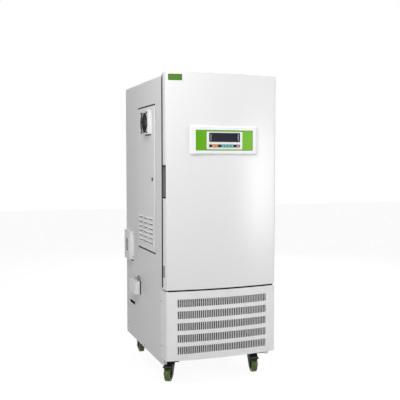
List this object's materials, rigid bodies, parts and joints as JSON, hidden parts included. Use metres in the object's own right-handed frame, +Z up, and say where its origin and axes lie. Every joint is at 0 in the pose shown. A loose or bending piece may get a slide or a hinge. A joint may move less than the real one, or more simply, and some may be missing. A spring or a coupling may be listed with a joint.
{
  "type": "plant growth chamber",
  "caption": "Floor-standing climate cabinet with a bowed side-hinged door, lit wire-shelf chamber, lamp covers with exhaust fans, slotted lower grille and swivel castors",
  "frame": {"origin": "on the floor, under the middle of the cabinet's width and depth", "axes": "+X to the right seen from the front, +Y to the back, +Z up; the door and the controls face -Y"},
  "size_m": [0.665, 0.833, 1.574],
  "materials": {
    "white_paint": "satin powder coat",
    "inner_white": "gloss",
    "stainless": "brushed",
    "zinc_steel": "satin",
    "black_metal": "satin",
    "foam": "matte",
    "gasket_rubber": "matte",
    "black_plastic": "satin",
    "bezel_grey": "gloss",
    "green_fascia": "gloss",
    "display_dark": "gloss",
    "key_orange": "gloss",
    "key_teal": "gloss",
    "key_mauve": "gloss",
    "wheel_green": "satin",
    "glass_clear": "gloss",
    "lamp_glass": "matte",
    "coil_aluminium": "satin",
    "fan_plastic": "satin",
    "chrome_lock": "polished"
  },
  "bodies": {
    "cabinet": {"outer_shell": "white_paint", "back_panel": "white_paint", "front_frame": "inner_white", "inner_liner": "stainless", "insulation": "foam", "base_frame": "white_paint", "grille_panel": "white_paint", "hinge_brackets": "zinc_steel", "shelf_supports": "stainless", "air_duct_panel": "stainless", "evaporator": "coil_aluminium", "circulation_fan": "fan_plastic", "compressor": "black_metal", "condenser": "coil_aluminium", "breaker_box": "white_paint", "mains_inlet": "black_plastic", "lamp_trays": "zinc_steel", "lamp_windows": "glass_clear", "lamp_tubes": "lamp_glass", "castor_plates": "zinc_steel"},
    "door": {"door_skin": "white_paint", "door_liner": "inner_white", "door_gasket": "gasket_rubber", "door_handle": "black_plastic", "display_bezel": "bezel_grey", "display_fascia": "green_fascia", "display_window": "display_dark", "key_strip": "black_plastic"},
    "key_1": {"key_1": "key_orange"},
    "key_2": {"key_2": "key_orange"},
    "key_3": {"key_3": "key_teal"},
    "key_4": {"key_4": "key_teal"},
    "key_5": {"key_5": "key_teal"},
    "key_6": {"key_6": "key_teal"},
    "key_7": {"key_7": "key_mauve"},
    "castor_fork_front_left": {"castor_fork_front_left": "black_metal"},
    "castor_wheel_front_left": {"castor_wheel_front_left": "wheel_green"},
    "brake_pedal_front_left": {"brake_pedal_front_left": "black_metal"},
    "castor_fork_front_right": {"castor_fork_front_right": "black_metal"},
    "castor_wheel_front_right": {"castor_wheel_front_right": "wheel_green"},
    "brake_pedal_front_right": {"brake_pedal_front_right": "black_metal"},
    "castor_fork_rear_left": {"castor_fork_rear_left": "black_metal"},
    "castor_wheel_rear_left": {"castor_wheel_rear_left": "wheel_green"},
    "castor_fork_rear_right": {"castor_fork_rear_right": "black_metal"},
    "castor_wheel_rear_right": {"castor_wheel_rear_right": "wheel_green"},
    "shelf_1": {"shelf_1": "stainless"},
    "shelf_2": {"shelf_2": "stainless"},
    "shelf_3": {"shelf_3": "stainless"},
    "lamp_cover_left": {"lamp_cover_left": "white_paint", "exhaust_fan_left": "fan_plastic"},
    "exhaust_rotor_left": {"exhaust_rotor_left": "fan_plastic"},
    "cover_lock_left": {"cover_lock_left": "chrome_lock"},
    "lamp_cover_right": {"lamp_cover_right": "white_paint", "exhaust_fan_right": "fan_plastic"},
    "exhaust_rotor_right": {"exhaust_rotor_right": "fan_plastic"},
    "cover_lock_right": {"cover_lock_right": "chrome_lock"},
    "circulation_rotor": {"circulation_rotor": "fan_plastic"},
    "condenser_rotor": {"condenser_rotor": "fan_plastic"},
    "inlet_cover": {"inlet_cover": "inner_white"},
    "breaker_toggle": {"breaker_toggle": "black_plastic"}
  },
  "joints": [
    {"name": "door_hinge", "type": "hinge", "parent": "cabinet", "child": "door", "pos_m": [0.288, -0.358, 1.03625], "axis": [0, 0, 1], "range_deg": [0, 110]},
    {"name": "key_1_press", "type": "slide", "parent": "door", "child": "key_1", "axis": [0, 1, 0], "range_m": [0, 0.0008], "stiffness_N_per_m": 400},
    {"name": "key_2_press", "type": "slide", "parent": "door", "child": "key_2", "axis": [0, 1, 0], "range_m": [0, 0.0008], "stiffness_N_per_m": 400},
    {"name": "key_3_press", "type": "slide", "parent": "door", "child": "key_3", "axis": [0, 1, 0], "range_m": [0, 0.0008], "stiffness_N_per_m": 400},
    {"name": "key_4_press", "type": "slide", "parent": "door", "child": "key_4", "axis": [0, 1, 0], "range_m": [0, 0.0008], "stiffness_N_per_m": 400},
    {"name": "key_5_press", "type": "slide", "parent": "door", "child": "key_5", "axis": [0, 1, 0], "range_m": [0, 0.0008], "stiffness_N_per_m": 400},
    {"name": "key_6_press", "type": "slide", "parent": "door", "child": "key_6", "axis": [0, 1, 0], "range_m": [0, 0.0008], "stiffness_N_per_m": 400},
    {"name": "key_7_press", "type": "slide", "parent": "door", "child": "key_7", "axis": [0, 1, 0], "range_m": [0, 0.0008], "stiffness_N_per_m": 400},
    {"name": "castor_swivel_front_left", "type": "hinge", "parent": "cabinet", "child": "castor_fork_front_left", "pos_m": [-0.235, -0.244, 0.092], "axis": [0, 0, 1], "continuous": true},
    {"name": "castor_axle_front_left", "type": "hinge", "parent": "castor_fork_front_left", "child": "castor_wheel_front_left", "pos_m": [-0.24825, -0.2652, 0.0375], "axis": [-0.848, 0.5299, 0], "continuous": true},
    {"name": "brake_front_left", "type": "hinge", "parent": "castor_fork_front_left", "child": "brake_pedal_front_left", "pos_m": [-0.2403, -0.25248, 0.0824], "axis": [0.848, -0.5299, 0], "range_deg": [0, 9]},
    {"name": "castor_swivel_front_right", "type": "hinge", "parent": "cabinet", "child": "castor_fork_front_right", "pos_m": [0.235, -0.244, 0.092], "axis": [0, 0, 1], "continuous": true},
    {"name": "castor_axle_front_right", "type": "hinge", "parent": "castor_fork_front_right", "child": "castor_wheel_front_right", "pos_m": [0.23066, -0.26862, 0.0375], "axis": [-0.9848, 0.1736, 0], "continuous": true},
    {"name": "brake_front_right", "type": "hinge", "parent": "castor_fork_front_right", "child": "brake_pedal_front_right", "pos_m": [0.23326, -0.25385, 0.0824], "axis": [0.9848, -0.1736, 0], "range_deg": [0, 9]},
    {"name": "castor_swivel_rear_left", "type": "hinge", "parent": "cabinet", "child": "castor_fork_rear_left", "pos_m": [-0.235, 0.337, 0.092], "axis": [0, 0, 1], "continuous": true},
    {"name": "castor_axle_rear_left", "type": "hinge", "parent": "castor_fork_rear_left", "child": "castor_wheel_rear_left", "pos_m": [-0.23848, 0.31224, 0.0375], "axis": [-0.9903, 0.1392, 0], "continuous": true},
    {"name": "castor_swivel_rear_right", "type": "hinge", "parent": "cabinet", "child": "castor_fork_rear_right", "pos_m": [0.235, 0.337, 0.092], "axis": [0, 0, 1], "continuous": true},
    {"name": "castor_axle_rear_right", "type": "hinge", "parent": "castor_fork_rear_right", "child": "castor_wheel_rear_right", "pos_m": [0.22645, 0.31351, 0.0375], "axis": [-0.9397, 0.342, 0], "continuous": true},
    {"name": "shelf_1_slide", "type": "slide", "parent": "cabinet", "child": "shelf_1", "axis": [0, -1, 0], "range_m": [0, 0.07]},
    {"name": "shelf_2_slide", "type": "slide", "parent": "cabinet", "child": "shelf_2", "axis": [0, -1, 0], "range_m": [0, 0.07]},
    {"name": "shelf_3_slide", "type": "slide", "parent": "cabinet", "child": "shelf_3", "axis": [0, -1, 0], "range_m": [0, 0.07]},
    {"name": "lamp_cover_hinge_left", "type": "hinge", "parent": "cabinet", "child": "lamp_cover_left", "pos_m": [-0.2995, 0.118, 1.044], "axis": [0, 0, -1], "range_deg": [0, 110]},
    {"name": "exhaust_spin_left", "type": "hinge", "parent": "lamp_cover_left", "child": "exhaust_rotor_left", "pos_m": [-0.3115, -0.092, 1.3405], "axis": [-1, 0, 0], "continuous": true},
    {"name": "cover_lock_turn_left", "type": "hinge", "parent": "lamp_cover_left", "child": "cover_lock_left", "pos_m": [-0.3035, -0.17, 1.0445], "axis": [-1, 0, 0], "range_deg": [0, 90]},
    {"name": "lamp_cover_hinge_right", "type": "hinge", "parent": "cabinet", "child": "lamp_cover_right", "pos_m": [0.2995, 0.118, 1.044], "axis": [0, 0, 1], "range_deg": [0, 110]},
    {"name": "exhaust_spin_right", "type": "hinge", "parent": "lamp_cover_right", "child": "exhaust_rotor_right", "pos_m": [0.3115, -0.092, 1.3405], "axis": [1, 0, 0], "continuous": true},
    {"name": "cover_lock_turn_right", "type": "hinge", "parent": "lamp_cover_right", "child": "cover_lock_right", "pos_m": [0.3035, -0.17, 1.0445], "axis": [-1, 0, 0], "range_deg": [0, 90]},
    {"name": "circulation_spin", "type": "hinge", "parent": "cabinet", "child": "circulation_rotor", "pos_m": [0, 0.289, 1.401], "axis": [0, -1, 0], "continuous": true},
    {"name": "condenser_spin", "type": "hinge", "parent": "cabinet", "child": "condenser_rotor", "pos_m": [0, -0.224, 0.2685], "axis": [0, -1, 0], "continuous": true},
    {"name": "inlet_cover_hinge", "type": "hinge", "parent": "cabinet", "child": "inlet_cover", "pos_m": [-0.3086, 0.2128, 0.4275], "axis": [0, 0, -1], "range_deg": [0, 90]},
    {"name": "breaker_switch", "type": "hinge", "parent": "cabinet", "child": "breaker_toggle", "pos_m": [-0.307, 0.3155, 0.649], "axis": [0, -1, 0], "range_deg": [0, 60]}
  ]
}
